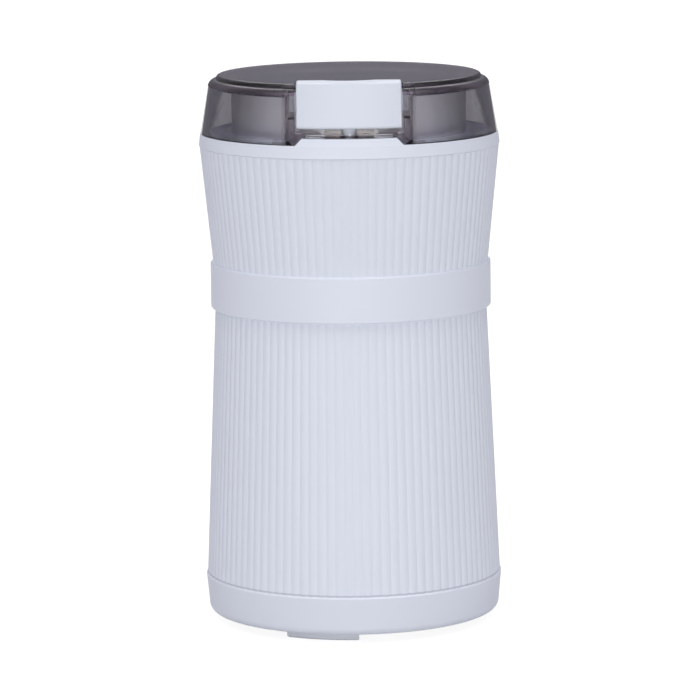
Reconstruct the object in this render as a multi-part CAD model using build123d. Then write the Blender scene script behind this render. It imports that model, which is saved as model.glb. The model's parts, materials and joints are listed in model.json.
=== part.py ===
from build123d import *
import math
import os

# An electric blade grinder for coffee beans, standing on its feet with +Z up.
# The origin lies on the standing surface under the middle, and the button faces -Y.
# All lengths are in millimetres.

# Heights of the outside, each stacked on the one below
foot_drop = 2.7
base_height = 12.3
lower_height = 85.3
band_height = 14.6
upper_height = 36.7
collar_height = 4.2
lid_height = 17.0
disc_step = 1.4

# Outside radius where the lid meets the body, and how far each edge stands in or out from it
body_radius = 47.0
base_low_inset = 0.9
base_top_proud = 0.2
lower_bottom_inset = 0.2
lower_top_inset = 3.9
band_inset = 2.55
upper_bottom_inset = 3.4
upper_top_proud = 0.3
collar_bottom_proud = 0.55
collar_top_proud = 0.1
lid_taper = 2.95
disc_inset = 2.15

# Rounded and broken edges of the outside
base_round = 2.5
edge_break = 0.5
collar_break = 0.4
shoulder_round = 2.4
disc_round = 1.3

# Upright ribs of the two housings
rib_count = 100
rib_depth = 0.3

# Walls
shell_wall = 2.0
base_wall = 2.2
band_wall = 1.9
deck_wall = 2.2
lid_wall = 2.0
disc_wall = 2.2

# Clearances, and how far a cut runs past the face that it opens
fit_clearance = 0.1
shaft_clearance = 0.05
slide_clearance = 0.3
overrun = 3.0

# Seam of the housings under the waist band, and the lips that centre the shells
spigot_length = 6.0
spigot_wall = 1.8
lip_height = 4.0
lip_wall = 1.6

# Screws that hold the base cap to posts inside the lower housing
post_count = 3
post_first_angle = 45.0
post_wall_gap = 3.1
post_radius = 3.4
post_height = 40.0
post_web = 2.0
screw_radius = 1.5
screw_length = 14.0
screw_sink = 1.5
screw_head_radius = 2.8
screw_head_height = 1.3
screw_slot_width = 0.8
screw_slot_depth = 0.7

# Feet
foot_count = 3
foot_first_angle = -105.0
foot_sweep = 34.0
foot_inset = 6.1
foot_width = 4.0
foot_set_in = 1.0
foot_edge = 0.4

# Slots in the base floor that let air in to the motor
vent_count = 12
vent_seat_gap = 6.3
vent_foot_gap = 5.0
vent_width = 2.4

# Rubber gland of the cord inlet at the back of the base
gland_wall = 0.7
gland_inner_rim = 0.3
gland_outer_rim = 1.5
gland_rim_wall = 0.8
gland_seat = 1.3

# Clamp for the cord, on two posts of the base floor
clamp_inset = 8.9
clamp_spacing = 16.0
clamp_post_radius = 3.0
clamp_post_height = 7.0
clamp_bar_width = 6.0
clamp_bar_height = 3.0
clamp_screw_radius = 1.3
clamp_screw_length = 7.0
clamp_head_radius = 2.4
clamp_head_height = 1.6

# Terminal block on the base floor
terminal_inset = 7.9
terminal_length = 14.0
terminal_depth = 8.0
terminal_height = 10.0
terminal_hole_radius = 1.6

# Grinding cup of sheet steel
cup_wall = 0.7
cup_rim_gap = 0.65
cup_sink = 30.0
cup_shoulder = 0.9
cup_taper = 4.9
cup_bottom_round = 12.0
gasket_height = 0.8

# Locating lip and front tab on the deck
guide_lip_height = 1.2
guide_lip_wall = 1.2
guide_lip_side_gap = 3.7
tab_height = 2.2
tab_side_inset = 1.6
tab_flare = 2.1
tab_depth = 7.2

# Button and its pocket in the lid
button_width = 32.4
button_bottom_rise = 5.1
button_over_disc = 0.8
button_proud = 0.2
button_side_gap = 0.5
button_pad_depth = 10.7
button_pad_height = 1.95
button_round = 0.8
dimple_radius = 120.0
dimple_depth = 0.4
stem_top_radius = 2.5
stem_end_radius = 1.75
stem_rear_gap = 0.4
jamb_wall = 2.6
pocket_wall = 1.2
pocket_floor = 0.7
pocket_ledge = 0.9
floor_slot_inner = 7.5
floor_slot_outer = 13.3
floor_slot_depth = 3.0
guide_inset = 1.2
guide_depth = 1.7
guide_width = 2.4
guide_low_rise = 2.3
guide_high_drop = 1.45
lid_ring_gap = 1.4
lid_ring_wall = 2.0
lid_ring_height = 4.5

# Switch rod under the button
rod_wall_gap = 0.4
rod_radius = 2.0
rod_guide_wall = 1.3
rod_guide_length = 2.1
rod_flange = 2.6
rod_flange_height = 1.0
pin_offset = 2.8
pin_radius = 1.2
rod_spring_wire = 0.5
rod_spring_radius = 1.9
rod_spring_turns = 3
rod_spring_height = 5.2

# Microswitch and its bracket
switch_offset = 1.4
switch_length = 15.0
switch_width = 5.8
switch_height = 8.0
switch_leg = 1.8
switch_leg_width = 4.0
switch_ledge = 1.2
switch_shelf = 1.4
switch_shelf_lap = 1.0
ledge_tongue = 5.2
tab_pin_width = 2.0
tab_pin_wall = 0.6
tab_pin_length = 4.5
lever_arm = 6.4
lever_past = 2.2
lever_width = 3.8
lever_wall = 0.5
lever_lift = 17.5
lever_eye_radius = 1.0
lever_pin_radius = 0.5
lever_ear_wall = 0.9
lever_ear_rise = 2.4

# Motor, worked downwards from the floor of the cup
shaft_radius = 2.5
bearing_radius = 5.0
bracket_wall = 3.0
bracket_fan_margin = 2.0
bracket_edge = 0.5
bracket_arm_width = 10.0
boss_radius = 8.0
upper_boss_height = 10.0
cup_neck_thread = 6.5
cup_nut_radius = 10.0
cup_nut_height = 3.0
stack_height = 28.0
lower_boss_drop = 7.5
leg_radius = 4.0
tie_radius = 1.6
tie_head_radius = 3.0
tie_head_height = 2.4
tie_thread = 8.0

# Stator laminations and field coils
stator_wall_gap = 3.5
pole_width = 16.0
shoe_width = 26.0
coil_wall = 4.6
coil_round = 2.0

# Outline of a lamination, as shares of the circle that it is stamped from
long_side_share = 0.84
short_side_share = 0.72
yoke_share = 0.135
bore_share = 0.42
shoe_share = 0.08

# Rotor
rotor_gap = 0.5
rotor_slots = 12
slot_width = 1.6
slot_depth = 3.0
winding_height = 5.5
winding_inset = 1.6
winding_round = 2.0
commutator_radius = 8.0
commutator_height = 12.0
commutator_bars = 12
bar_gap = 0.5
bar_gap_depth = 1.2
commutator_drop = 3.0
commutator_clear = 8.0
fan_leg_gap = 1.5
fan_boss_gap = 2.8
fan_hub_radius = 6.0
fan_hub_height = 5.0
fan_plate = 1.2
fan_blades = 9
fan_blade_wall = 1.0
fan_rise = 7.0

# Brushes
brush_width = 5.0
brush_height = 5.0
brush_length_share = 0.6
brush_gap = 0.1
holder_wall = 0.8
holder_stator_inset = 6.5
holder_stand_off = 1.5
holder_post_width = 5.0
brush_spring_wire = 0.4
brush_spring_radius = 1.7
brush_spring_turns = 4

# Motor seat on the base floor
seat_wall = 2.6
damper_wall = 2.1
damper_flange = 2.4
damper_sleeve = 6.0

# Blade
blade_cup_gap = 4.4
blade_width = 12.0
blade_wall = 1.4
blade_flat = 14.0
blade_tip_rise = 4.5
blade_tip_width = 4.0
hub_radius = 6.0
hub_height = 3.0
hub_gap = 0.6
blade_nut_radius = 4.6
blade_nut_height = 4.0
blade_nut_sides = 6
blade_nut_dome = 1.2

# Wires inside
wire_radius = 0.9
wire_bend = 5.0

# Heights worked out from the stack
base_top = foot_drop + base_height
band_bottom = base_top + lower_height
band_top = band_bottom + band_height
collar_bottom = band_top + upper_height
deck_top = collar_bottom + collar_height
step_height = deck_top + lid_height
disc_top = step_height + disc_step
seam_height = (band_bottom + band_top) / 2
floor_top = foot_drop + base_wall
deck_under = deck_top - deck_wall
tab_top = deck_top + tab_height
disc_under = disc_top - disc_wall
cup_seat = deck_top + gasket_height
cup_under = deck_top - cup_sink

# Radii of the outside
base_low_radius = body_radius - base_low_inset
base_top_radius = body_radius + base_top_proud
lower_bottom_radius = body_radius - lower_bottom_inset
lower_top_radius = body_radius - lower_top_inset
band_radius = body_radius - band_inset
upper_bottom_radius = body_radius - upper_bottom_inset
upper_top_radius = body_radius + upper_top_proud
collar_bottom_radius = body_radius + collar_bottom_proud
collar_top_radius = body_radius + collar_top_proud
lid_bottom_radius = body_radius
lid_top_radius = lid_bottom_radius - lid_taper
disc_radius = lid_top_radius - disc_inset

# Radii inside the shells
base_inner = base_low_radius - base_wall
neck_radius = band_radius - band_wall - shaft_clearance
neck_inner = neck_radius - shell_wall
spigot_radius = neck_inner - fit_clearance
spigot_inner = spigot_radius - spigot_wall
lower_inner = lower_bottom_radius - rib_depth - shell_wall
upper_inner_low = upper_bottom_radius - rib_depth - shell_wall
upper_inner_high = upper_top_radius - rib_depth - shell_wall


def skirt_radius(height):
    # Outside radius of the lid's tapered skirt
    return lid_bottom_radius - lid_taper * (height - deck_top) / lid_height


# Places in the base
post_circle = lower_inner - post_wall_gap - post_radius
foot_outer_radius = base_low_radius - foot_inset
seat_radius = boss_radius + damper_wall + seat_wall
vent_inner_radius = seat_radius + vent_seat_gap
vent_outer_radius = foot_outer_radius - foot_width - vent_foot_gap
clamp_back = base_inner - clamp_inset
terminal_side = base_inner - terminal_inset
inlet_space = base_top - base_wall - floor_top
inlet_height = floor_top + inlet_space / 2
inlet_radius = inlet_space / 2 - fit_clearance - gland_inner_rim - gland_wall

# Places across the front, inwards from the wall: switch rod, button, pocket and cup
rod_front = upper_inner_high - rod_wall_gap - rod_flange
pin_front = rod_front - pin_offset
switch_front = pin_front - switch_offset
button_back = rod_front - stem_top_radius - stem_rear_gap
pocket_back = button_back - slide_clearance
pocket_rear = pocket_back - pocket_wall
cup_radius = pocket_rear - 2 * slide_clearance
cup_neck_radius = cup_radius - cup_shoulder
cup_low_radius = cup_radius - cup_taper
deck_hole_radius = cup_neck_radius + slide_clearance
lid_ring_radius = cup_radius - cup_wall - lid_ring_gap
blade_reach = cup_low_radius - blade_cup_gap

# Button, its pocket and the rod under it
button_bottom = deck_top + button_bottom_rise
button_top = disc_top + button_over_disc
pocket_floor_low = tab_top + slide_clearance
pocket_floor_top = pocket_floor_low + pocket_floor
button_travel = button_bottom - pocket_floor_top - fit_clearance
pocket_half = button_width / 2 + button_side_gap
jamb_half = pocket_half + jamb_wall
guide_lip_gap = 2 * (jamb_half + guide_lip_side_gap)
tab_top_width = button_width - 2 * tab_side_inset
tab_bottom_width = tab_top_width + 2 * tab_flare
pad_back = skirt_radius(button_top) - button_pad_depth
pad_under = button_top - button_pad_height
guide_front = button_back - guide_inset
guide_low = button_bottom + guide_low_rise
guide_high = pad_under - guide_high_drop
ledge_top = pad_under - button_travel - fit_clearance
ledge_under = ledge_top - pocket_ledge
cup_rim = ledge_under - cup_rim_gap
rod_hole_radius = rod_radius + fit_clearance
rod_top = tab_top
stem_slope = (stem_top_radius - stem_end_radius) / (button_bottom - rod_top - fit_clearance)
rod_mouth_radius = stem_end_radius + stem_slope * button_travel + slide_clearance
flange_top = deck_under - rod_guide_length
flange_under = flange_top - rod_flange_height
ledge_plate_top = flange_under - rod_spring_height
ledge_plate_under = ledge_plate_top - switch_ledge

# Places of the microswitch under the rod
lever_angle = math.radians(lever_lift)
lever_eye_top = (lever_eye_radius - fit_clearance) / math.cos(lever_angle)
lever_tip_rise = (lever_arm + lever_past) * math.tan(lever_angle) + lever_eye_top
pivot_rise = lever_ear_rise / 2
switch_top = ledge_plate_under - slide_clearance - lever_tip_rise - pivot_rise
switch_under = switch_top - switch_height
switch_half = switch_length / 2
shelf_inner = switch_half - switch_shelf_lap
tab_pin_spacing = shelf_inner - slide_clearance - tab_pin_width / 2
leg_inner = switch_half + slide_clearance
leg_outer = leg_inner + switch_leg
pivot_height = switch_top + pivot_rise

# Motor across, from the wall of the waist inwards
stator_radius = neck_inner - stator_wall_gap
stator_half_y = stator_radius * long_side_share
stator_half_x = stator_radius * short_side_share
yoke_wall = stator_radius * yoke_share
tie_spacing = 2 * stator_half_x - yoke_wall
bracket_reach = tie_spacing / 2 + leg_radius + bracket_edge
bore_radius = stator_radius * bore_share
pole_outer = stator_half_y - yoke_wall
shoe_outer = bore_radius + stator_radius * shoe_share
rotor_radius = bore_radius - rotor_gap
fan_radius = tie_spacing / 2 - leg_radius - fan_leg_gap
upper_disc_radius = fan_radius + bracket_fan_margin
holder_near = commutator_radius + holder_stand_off
holder_far = stator_half_y - holder_stator_inset
lower_disc_radius = holder_far + bracket_edge
brush_length = (holder_far - holder_near) * brush_length_share
lead_front = holder_far + 2 * wire_bend

# Heights of the motor, from the cup downwards
upper_leg_length = upper_boss_height + fan_boss_gap + fan_hub_height + fan_rise
lower_leg_length = winding_height + commutator_drop + commutator_height + commutator_clear
cup_floor_top = cup_under + cup_wall
upper_plate_under = cup_under - bracket_wall
upper_boss_under = upper_plate_under - upper_boss_height
neck_top = cup_floor_top + cup_nut_height + edge_break
stack_top = upper_plate_under - upper_leg_length
stack_under = stack_top - stack_height
lower_plate_top = stack_under - lower_leg_length
lower_plate_under = lower_plate_top - bracket_wall
lower_boss_under = lower_plate_under - lower_boss_drop
commutator_top = stack_under - winding_height - commutator_drop
commutator_under = commutator_top - commutator_height
brush_middle = (commutator_top + commutator_under) / 2
seat_top = lower_plate_under - damper_flange
hub_under = neck_top + hub_gap
blade_under = hub_under + hub_height
blade_top = blade_under + blade_wall
nut_top = blade_top + blade_nut_height


def turned(*points, rounds=None):
    # Solid of revolution about the upright axis, from (radius, height) corners
    if rounds is None:
        outline = Polyline(*points, close=True)
    else:
        outline = FilletPolyline(*points, radius=rounds, close=True)
    return revolve(Plane.XZ * make_face(outline), Axis.Z)


def ring(outer, inner, low, high):
    return turned((inner, low), (outer, low), (outer, high), (inner, high))


def post(radius, low, high, x=0, y=0):
    upright = Cylinder(radius, high - low, align=(Align.CENTER, Align.CENTER, Align.MIN))
    return Pos(x, y, low) * upright


def block(x_low, x_high, y_low, y_high, z_low, z_high):
    box = Box(x_high - x_low, y_high - y_low, z_high - z_low, align=Align.MIN)
    return Pos(x_low, y_low, z_low) * box


def around(count, first_angle=0):
    # Turns about the upright axis for evenly spaced copies
    return [Rot(0, 0, first_angle + 360 * i / count) for i in range(count)]


def polar(radius, angle):
    return (radius * math.cos(math.radians(angle)), radius * math.sin(math.radians(angle)))


def biarc(start, start_way, end, end_way):
    # Two arcs that leave start along start_way and arrive at end along end_way
    span = end - start
    way = start_way + end_way
    spread = 2 * (1 - start_way.dot(end_way))
    along = span.dot(way)
    reach = (math.sqrt(along**2 + spread * span.dot(span)) - along) / spread
    middle = (start + start_way * reach + end - end_way * reach) / 2
    first = TangentArc(start, middle, tangent=start_way)
    return [first, TangentArc(middle, end, tangent=first % 1)]


def coil_spring(name, coil_radius, wire, height, turns):
    # Open coil of round wire, standing on the origin, with a straight lead at each end
    rise = height - 2 * wire
    quarters = 4 * turns
    lead = rise / (turns * 2 * math.pi)
    places = []
    ways = []
    for i in range(quarters + 1):
        angle = i * math.pi / 2
        level = wire + rise * i / quarters
        place = Vector(coil_radius * math.cos(angle), coil_radius * math.sin(angle), level)
        way = Vector(-coil_radius * math.sin(angle), coil_radius * math.cos(angle), lead)
        places.append(place)
        ways.append(way.normalized())
    edges = []
    for i in range(quarters):
        edges += biarc(places[i], ways[i], places[i + 1], ways[i + 1])
    path = Wire(edges)
    section = Plane(origin=places[0], z_dir=ways[0]) * Circle(wire / 2)
    print(name, "least gap to itself", round(least_gap(path, wire, turns), 2))
    return sweep(section, path=path)


def least_gap(path, wire, turns):
    # Smallest space between points of the path that are over half a turn apart
    samples = turns * 2 * math.ceil(math.pi / math.asin(1 / 10))
    points = [path @ (i / samples) for i in range(samples + 1)]
    apart = samples // (2 * turns)
    spans = []
    for i in range(samples):
        spans += [(point - points[i]).length for point in points[i + apart :]]
    return min(spans) - wire


def reeded_outline(radius, height):
    # Closed outline of shallow rounded ribs whose crests reach the radius
    step = 360 / rib_count
    arcs = []
    for i in range(rib_count):
        start = polar(radius - rib_depth, i * step)
        crest = polar(radius, (i + 1 / 2) * step)
        end = polar(radius - rib_depth, (i + 1) * step)
        arcs.append(ThreePointArc(start, crest, end))
    return Pos(0, 0, height) * make_face(arcs)


def reeded(low_radius, low, high_radius, high):
    sections = [reeded_outline(low_radius, low), reeded_outline(high_radius, high)]
    return loft(sections, ruled=True)


def lower_housing():
    body = reeded(lower_bottom_radius, base_top, lower_top_radius, band_bottom)
    body += post(neck_radius, band_bottom - shell_wall, seam_height)
    body -= turned(
        (0, base_top - overrun),
        (lower_inner, base_top - overrun),
        (lower_inner, base_top),
        (neck_inner, band_bottom),
        (neck_inner, seam_height + overrun),
        (0, seam_height + overrun),
    )
    return body + screw_posts()


def lower_inner_radius(height):
    # Inside radius of the lower housing's tapered wall
    return lower_inner - (lower_inner - neck_inner) * (height - base_top) / lower_height


def screw_posts():
    # Posts for the base screws, each joined to the wall by a web above the base lip
    web_low = base_top + lip_height + fit_clearance
    post_top = floor_top + post_height
    half_wall = shell_wall / 2
    inside = turned(
        (0, floor_top),
        (lower_inner + half_wall, floor_top),
        (lower_inner + half_wall, base_top),
        (neck_inner + half_wall, band_bottom),
        (0, band_bottom),
    )
    posts = []
    for turn in around(post_count, post_first_angle):
        web = block(post_circle, lower_bottom_radius, -post_web / 2, post_web / 2, web_low, post_top)
        one = post(post_radius, floor_top, post_top, post_circle) + web
        one -= post(screw_radius, floor_top - overrun, floor_top + screw_length, post_circle)
        posts.append(turn * (one & inside))
    return posts


def upper_housing():
    spigot_low = seam_height - spigot_length
    body = reeded(upper_bottom_radius, band_top, upper_top_radius, collar_bottom)
    body += post(neck_radius, seam_height, band_top + shell_wall)
    body += post(spigot_radius, spigot_low, seam_height)
    body -= turned(
        (0, spigot_low - overrun),
        (spigot_inner, spigot_low - overrun),
        (spigot_inner, seam_height + shell_wall),
        (upper_inner_low, band_top + shell_wall),
        (upper_inner_high, collar_bottom),
        (upper_inner_high, collar_bottom + overrun),
        (0, collar_bottom + overrun),
    )
    return body


def waist_band():
    inner = neck_radius + shaft_clearance
    return turned(
        (inner, band_bottom),
        (band_radius - edge_break, band_bottom),
        (band_radius, band_bottom + edge_break),
        (band_radius, band_top - edge_break),
        (band_radius - edge_break, band_top),
        (inner, band_top),
    )


def base_cap():
    lip_top = base_top + lip_height
    lip_radius = lower_inner_radius(lip_top) - fit_clearance
    body = turned(
        (0, foot_drop),
        (base_low_radius, foot_drop),
        (base_top_radius, base_top - edge_break),
        (base_top_radius - edge_break, base_top),
        (lip_radius, base_top),
        (lip_radius, lip_top),
        (lip_radius - lip_wall, lip_top),
        (lip_radius - lip_wall, base_top),
        (base_inner, base_top - base_wall),
        (base_inner, floor_top),
        (0, floor_top),
        rounds=[0, base_round, 0, 0, 0, 0, 0, 0, 0, 0, 0],
    )
    body += ring(seat_radius, seat_radius - seat_wall, foot_drop, seat_top)
    body -= [turn * foot_recess() for turn in around(foot_count, foot_first_angle)]
    body -= [turn * vent_slot() for turn in around(vent_count)]
    body -= [turn * screw_passage() for turn in around(post_count, post_first_angle)]
    body -= gland_opening()
    for side in (-1, 1):
        x = side * clamp_spacing / 2
        body += post(clamp_post_radius, foot_drop, floor_top + clamp_post_height, x, clamp_back)
        hole_top = floor_top + clamp_post_height + overrun
        body -= post(clamp_screw_radius, floor_top, hole_top, x, clamp_back)
    return body


def foot_arc(outer, width, extra_angle, low, high):
    # One curved pad, symmetric about +X
    pad = ring(outer, outer - width, low, high)
    half = foot_sweep / 2 + extra_angle
    reach = outer + overrun
    corner = reach / math.cos(math.radians(half))
    wedge = make_face(Polyline((0, 0), polar(corner, -half), polar(corner, half), close=True))
    return pad & (Pos(0, 0, low) * extrude(wedge, high - low))


def foot_recess():
    extra_angle = math.degrees(fit_clearance / foot_outer_radius)
    outer = foot_outer_radius + fit_clearance
    width = foot_width + 2 * fit_clearance
    return foot_arc(outer, width, extra_angle, foot_drop - overrun, foot_drop + foot_set_in)


def feet():
    pad = foot_arc(foot_outer_radius, foot_width, 0, 0, foot_drop + foot_set_in)
    pad = chamfer(pad.faces().sort_by(Axis.Z)[0].edges(), foot_edge)
    return [turn * pad for turn in around(foot_count, foot_first_angle)]


def vent_slot():
    middle = (vent_inner_radius + vent_outer_radius) / 2
    slot = SlotOverall(vent_outer_radius - vent_inner_radius, vent_width)
    return Pos(middle, 0, foot_drop - overrun) * extrude(slot, base_wall + 2 * overrun)


def screw_passage():
    hole = post(screw_radius + fit_clearance, foot_drop - overrun, floor_top + overrun, post_circle)
    head = screw_head_radius + fit_clearance
    return hole + post(head, foot_drop - overrun, foot_drop + screw_sink, post_circle)


def base_screws():
    seat = foot_drop + screw_sink
    head_low = seat - screw_head_height
    screw = post(screw_radius, seat, floor_top + screw_length, post_circle)
    screw += post(screw_head_radius, head_low, seat, post_circle)
    slot = block(
        post_circle - screw_head_radius - overrun,
        post_circle + screw_head_radius + overrun,
        -screw_slot_width / 2,
        screw_slot_width / 2,
        head_low - overrun,
        head_low + screw_slot_depth,
    )
    return [turn * (screw - slot) for turn in around(post_count, post_first_angle)]


def lying(radius, y_low, y_high, z):
    # Cylinder along Y at the given height
    return Pos(0, y_low, z) * Rot(-90, 0, 0) * post(radius, 0, y_high - y_low)


def gland_opening():
    # Hole through the base wall, with a flat round seat for the outer rim
    hole = inlet_radius + gland_wall + fit_clearance
    inner_end = base_inner - gland_seat
    outer_end = base_top_radius + overrun
    opening = lying(hole, inner_end, outer_end, inlet_height)
    seat = lying(hole + gland_outer_rim, base_top_radius - edge_break, outer_end, inlet_height)
    return opening + seat


def cord_gland():
    # Rubber bush with a rim on each side of the base wall
    sleeve = inlet_radius + gland_wall
    inner_rim = sleeve + gland_inner_rim
    inner_face = math.sqrt(base_inner**2 - inner_rim**2) - fit_clearance
    inner_end = inner_face - gland_seat
    outer_face = base_top_radius - edge_break
    outer_end = outer_face + gland_rim_wall
    body = lying(sleeve, inner_end, outer_end, inlet_height)
    body += lying(inner_rim, inner_end, inner_face, inlet_height)
    body += lying(sleeve + gland_outer_rim, outer_face, outer_end, inlet_height)
    print("cord inlet from", round(inner_end, 3), "to", outer_end, "at height", round(inlet_height, 3))
    return body - lying(inlet_radius, inner_end - overrun, outer_end + overrun, inlet_height)


def cord_clamp():
    low = floor_top + clamp_post_height
    half = clamp_spacing / 2
    bar = block(
        -half,
        half,
        clamp_back - clamp_bar_width / 2,
        clamp_back + clamp_bar_width / 2,
        low,
        low + clamp_bar_height,
    )
    for side in (-1, 1):
        bar += post(clamp_bar_width / 2, low, low + clamp_bar_height, side * half, clamp_back)
    for side in (-1, 1):
        hole = clamp_screw_radius + fit_clearance
        bar -= post(hole, low - overrun, low + clamp_bar_height + overrun, side * half, clamp_back)
    return bar


def clamp_screws():
    seat = floor_top + clamp_post_height + clamp_bar_height
    screws = []
    for side in (-1, 1):
        x = side * clamp_spacing / 2
        screw = post(clamp_screw_radius, seat - clamp_screw_length, seat, x, clamp_back)
        screw += post(clamp_head_radius, seat, seat + clamp_head_height, x, clamp_back)
        screws.append(screw)
    return screws


def terminal_block():
    half_depth = terminal_depth / 2
    half_length = terminal_length / 2
    top = floor_top + terminal_height
    body = block(
        terminal_side - half_depth,
        terminal_side + half_depth,
        -half_length,
        half_length,
        floor_top,
        top,
    )
    for side in (-1, 1):
        body -= post(terminal_hole_radius, floor_top + base_wall, top + overrun, *terminal_place(side))
    return body


def terminal_place(side):
    # Middle of one of the two wire holes, seen from above
    return (terminal_side, side * terminal_length / 4)


def top_collar():
    # Collar, deck, centring ring below, locating lip and front tab above
    slope = (upper_inner_high - upper_inner_low) / (collar_bottom - band_top - shell_wall)
    ring_top = upper_inner_high - fit_clearance
    ring_low = ring_top - slope * lip_height
    body = turned(
        (deck_hole_radius, deck_under),
        (ring_top - lip_wall, deck_under),
        (ring_low - lip_wall, collar_bottom - lip_height),
        (ring_low, collar_bottom - lip_height),
        (ring_top, collar_bottom),
        (collar_bottom_radius - collar_break, collar_bottom),
        (collar_bottom_radius, collar_bottom + collar_break),
        (collar_top_radius, deck_top),
        (deck_hole_radius, deck_top),
    )
    lip_radius = lid_bottom_radius - lid_wall - 2 * slide_clearance
    lip = ring(lip_radius, lip_radius - guide_lip_wall, deck_under, deck_top + guide_lip_height)
    half_gap = guide_lip_gap / 2
    lip -= block(-half_gap, half_gap, -lid_bottom_radius, 0, deck_top, deck_top + guide_lip_height)
    body += lip
    body += front_tab()
    guide_radius = rod_hole_radius + rod_guide_wall
    lip_low = collar_bottom - lip_height
    body -= block(-guide_radius, guide_radius, -collar_bottom_radius, -cup_radius, lip_low, flange_top)
    guide = post(guide_radius, flange_top, deck_top, 0, -rod_front)
    body += guide & post(ring_top, flange_top, deck_top)
    body -= post(rod_hole_radius, lip_low, tab_top + overrun, 0, -rod_front)
    return body - rod_mouth()


def rod_mouth():
    # Flared top of the rod's hole, which the button's tapered stem enters when it is pressed
    flare = turned(
        (0, tab_top - button_travel),
        (rod_hole_radius, tab_top - button_travel),
        (rod_mouth_radius, tab_top),
        (rod_mouth_radius, tab_top + overrun),
        (0, tab_top + overrun),
    )
    return Pos(0, -rod_front, 0) * flare


def tab_prism(gap, low):
    # Trapezoid seen from the front, as wide at the deck as the lid's notch
    slope = (tab_bottom_width - tab_top_width) / 2 / tab_height
    top = tab_top + gap
    half_top = tab_top_width / 2 + gap
    half_low = half_top + slope * (top - low)
    outline = Polyline((-half_low, low), (half_low, low), (half_top, top), (-half_top, top), close=True)
    depth = lid_bottom_radius + overrun
    return extrude(Plane.XZ * make_face(outline), depth)


def front_tab():
    body = tab_prism(0, deck_top - deck_wall / 2)
    faced = turned(
        (0, deck_top - deck_wall),
        (collar_top_radius, deck_top - deck_wall),
        (skirt_radius(deck_top), deck_top),
        (skirt_radius(tab_top), tab_top),
        (0, tab_top),
    )
    return body & faced & block(
        -collar_top_radius,
        collar_top_radius,
        -collar_top_radius,
        -lid_bottom_radius + tab_depth,
        deck_under,
        tab_top,
    )


def cup_gasket():
    return ring(cup_radius, deck_hole_radius, deck_top, cup_seat)


def grinding_cup():
    hole = cup_neck_thread + fit_clearance
    inner_round = cup_bottom_round - cup_wall
    return turned(
        (cup_radius, cup_rim),
        (cup_radius, cup_seat),
        (cup_neck_radius, cup_seat),
        (cup_low_radius, cup_under),
        (hole, cup_under),
        (hole, cup_floor_top),
        (cup_low_radius - cup_wall, cup_floor_top),
        (cup_neck_radius - cup_wall, cup_seat + cup_wall),
        (cup_radius - cup_wall, cup_seat + cup_wall),
        (cup_radius - cup_wall, cup_rim),
        rounds=[0, 0, 0, cup_bottom_round, 0, 0, inner_round, 0, 0, 0],
    )


def cup_nut():
    return ring(cup_nut_radius, cup_neck_thread, cup_floor_top, cup_floor_top + cup_nut_height)


def lid_outside():
    return turned(
        (0, deck_top),
        (lid_bottom_radius, deck_top),
        (lid_top_radius, step_height),
        (disc_radius, step_height),
        (disc_radius, disc_top),
        (0, disc_top),
        rounds=[0, 0, shoulder_round, 0, disc_round, 0],
    )


def lid_inside():
    return turned(
        (0, deck_top - overrun),
        (lid_bottom_radius - lid_wall, deck_top - overrun),
        (lid_bottom_radius - lid_wall, deck_top),
        (lid_top_radius - lid_wall, disc_under),
        (0, disc_under),
        rounds=[0, 0, 0, shoulder_round, 0],
    )


def lid_shell():
    whole = lid_outside()
    body = whole - lid_inside()
    ring_low = disc_under - lid_ring_height
    body += ring(lid_ring_radius, lid_ring_radius - lid_ring_wall, ring_low, disc_under)
    body += pocket_block() & whole
    return body - pocket_space()


def pocket_block():
    # Smoked block behind the button: jambs, a rear wall round the cup and a ledge over its rim
    front = -lid_bottom_radius
    low = block(-jamb_half, jamb_half, front, -pad_back, deck_top, disc_top)
    low -= post(pocket_rear, deck_top, disc_top)
    return low + block(-jamb_half, jamb_half, front, -pad_back + pocket_wall, ledge_under, disc_top)


def pocket_space():
    front = -lid_bottom_radius - overrun
    high = disc_top + overrun
    rear = -pad_back + slide_clearance
    space = block(-pocket_half, pocket_half, front, rear, pocket_floor_top, high)
    space -= post(pocket_back, pocket_floor_top, high)
    space += block(-pocket_half, pocket_half, front, rear, ledge_top, high)
    space += tab_prism(slide_clearance, deck_top - overrun)
    space += post(stem_top_radius + slide_clearance, deck_top, pocket_floor_top + overrun, 0, -rod_front)
    slot_front = -rod_front - floor_slot_depth / 2
    slot_rear = -rod_front + floor_slot_depth / 2
    for side in (-1, 1):
        inner, outer = sorted((side * floor_slot_inner, side * floor_slot_outer))
        space += block(inner, outer, slot_front, slot_rear, deck_top, pocket_floor_top + overrun)
        space += guide_channel(side)
    return space


def guide_channel(side):
    start = pocket_half - fit_clearance
    end = pocket_half + guide_depth
    return round_ended_rib(side, start, end, guide_width / 2, guide_low + guide_width / 2, guide_high)


def round_ended_rib(side, start, end, half, bend, high):
    # Upright rib on a side wall, with a round lower end whose middle is at the bend
    inner, outer = sorted((side * start, side * end))
    rib = block(inner, outer, -guide_front - half, -guide_front + half, bend, high)
    return rib + Pos(inner, -guide_front, bend) * Rot(0, 90, 0) * post(half, 0, outer - inner)


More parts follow.
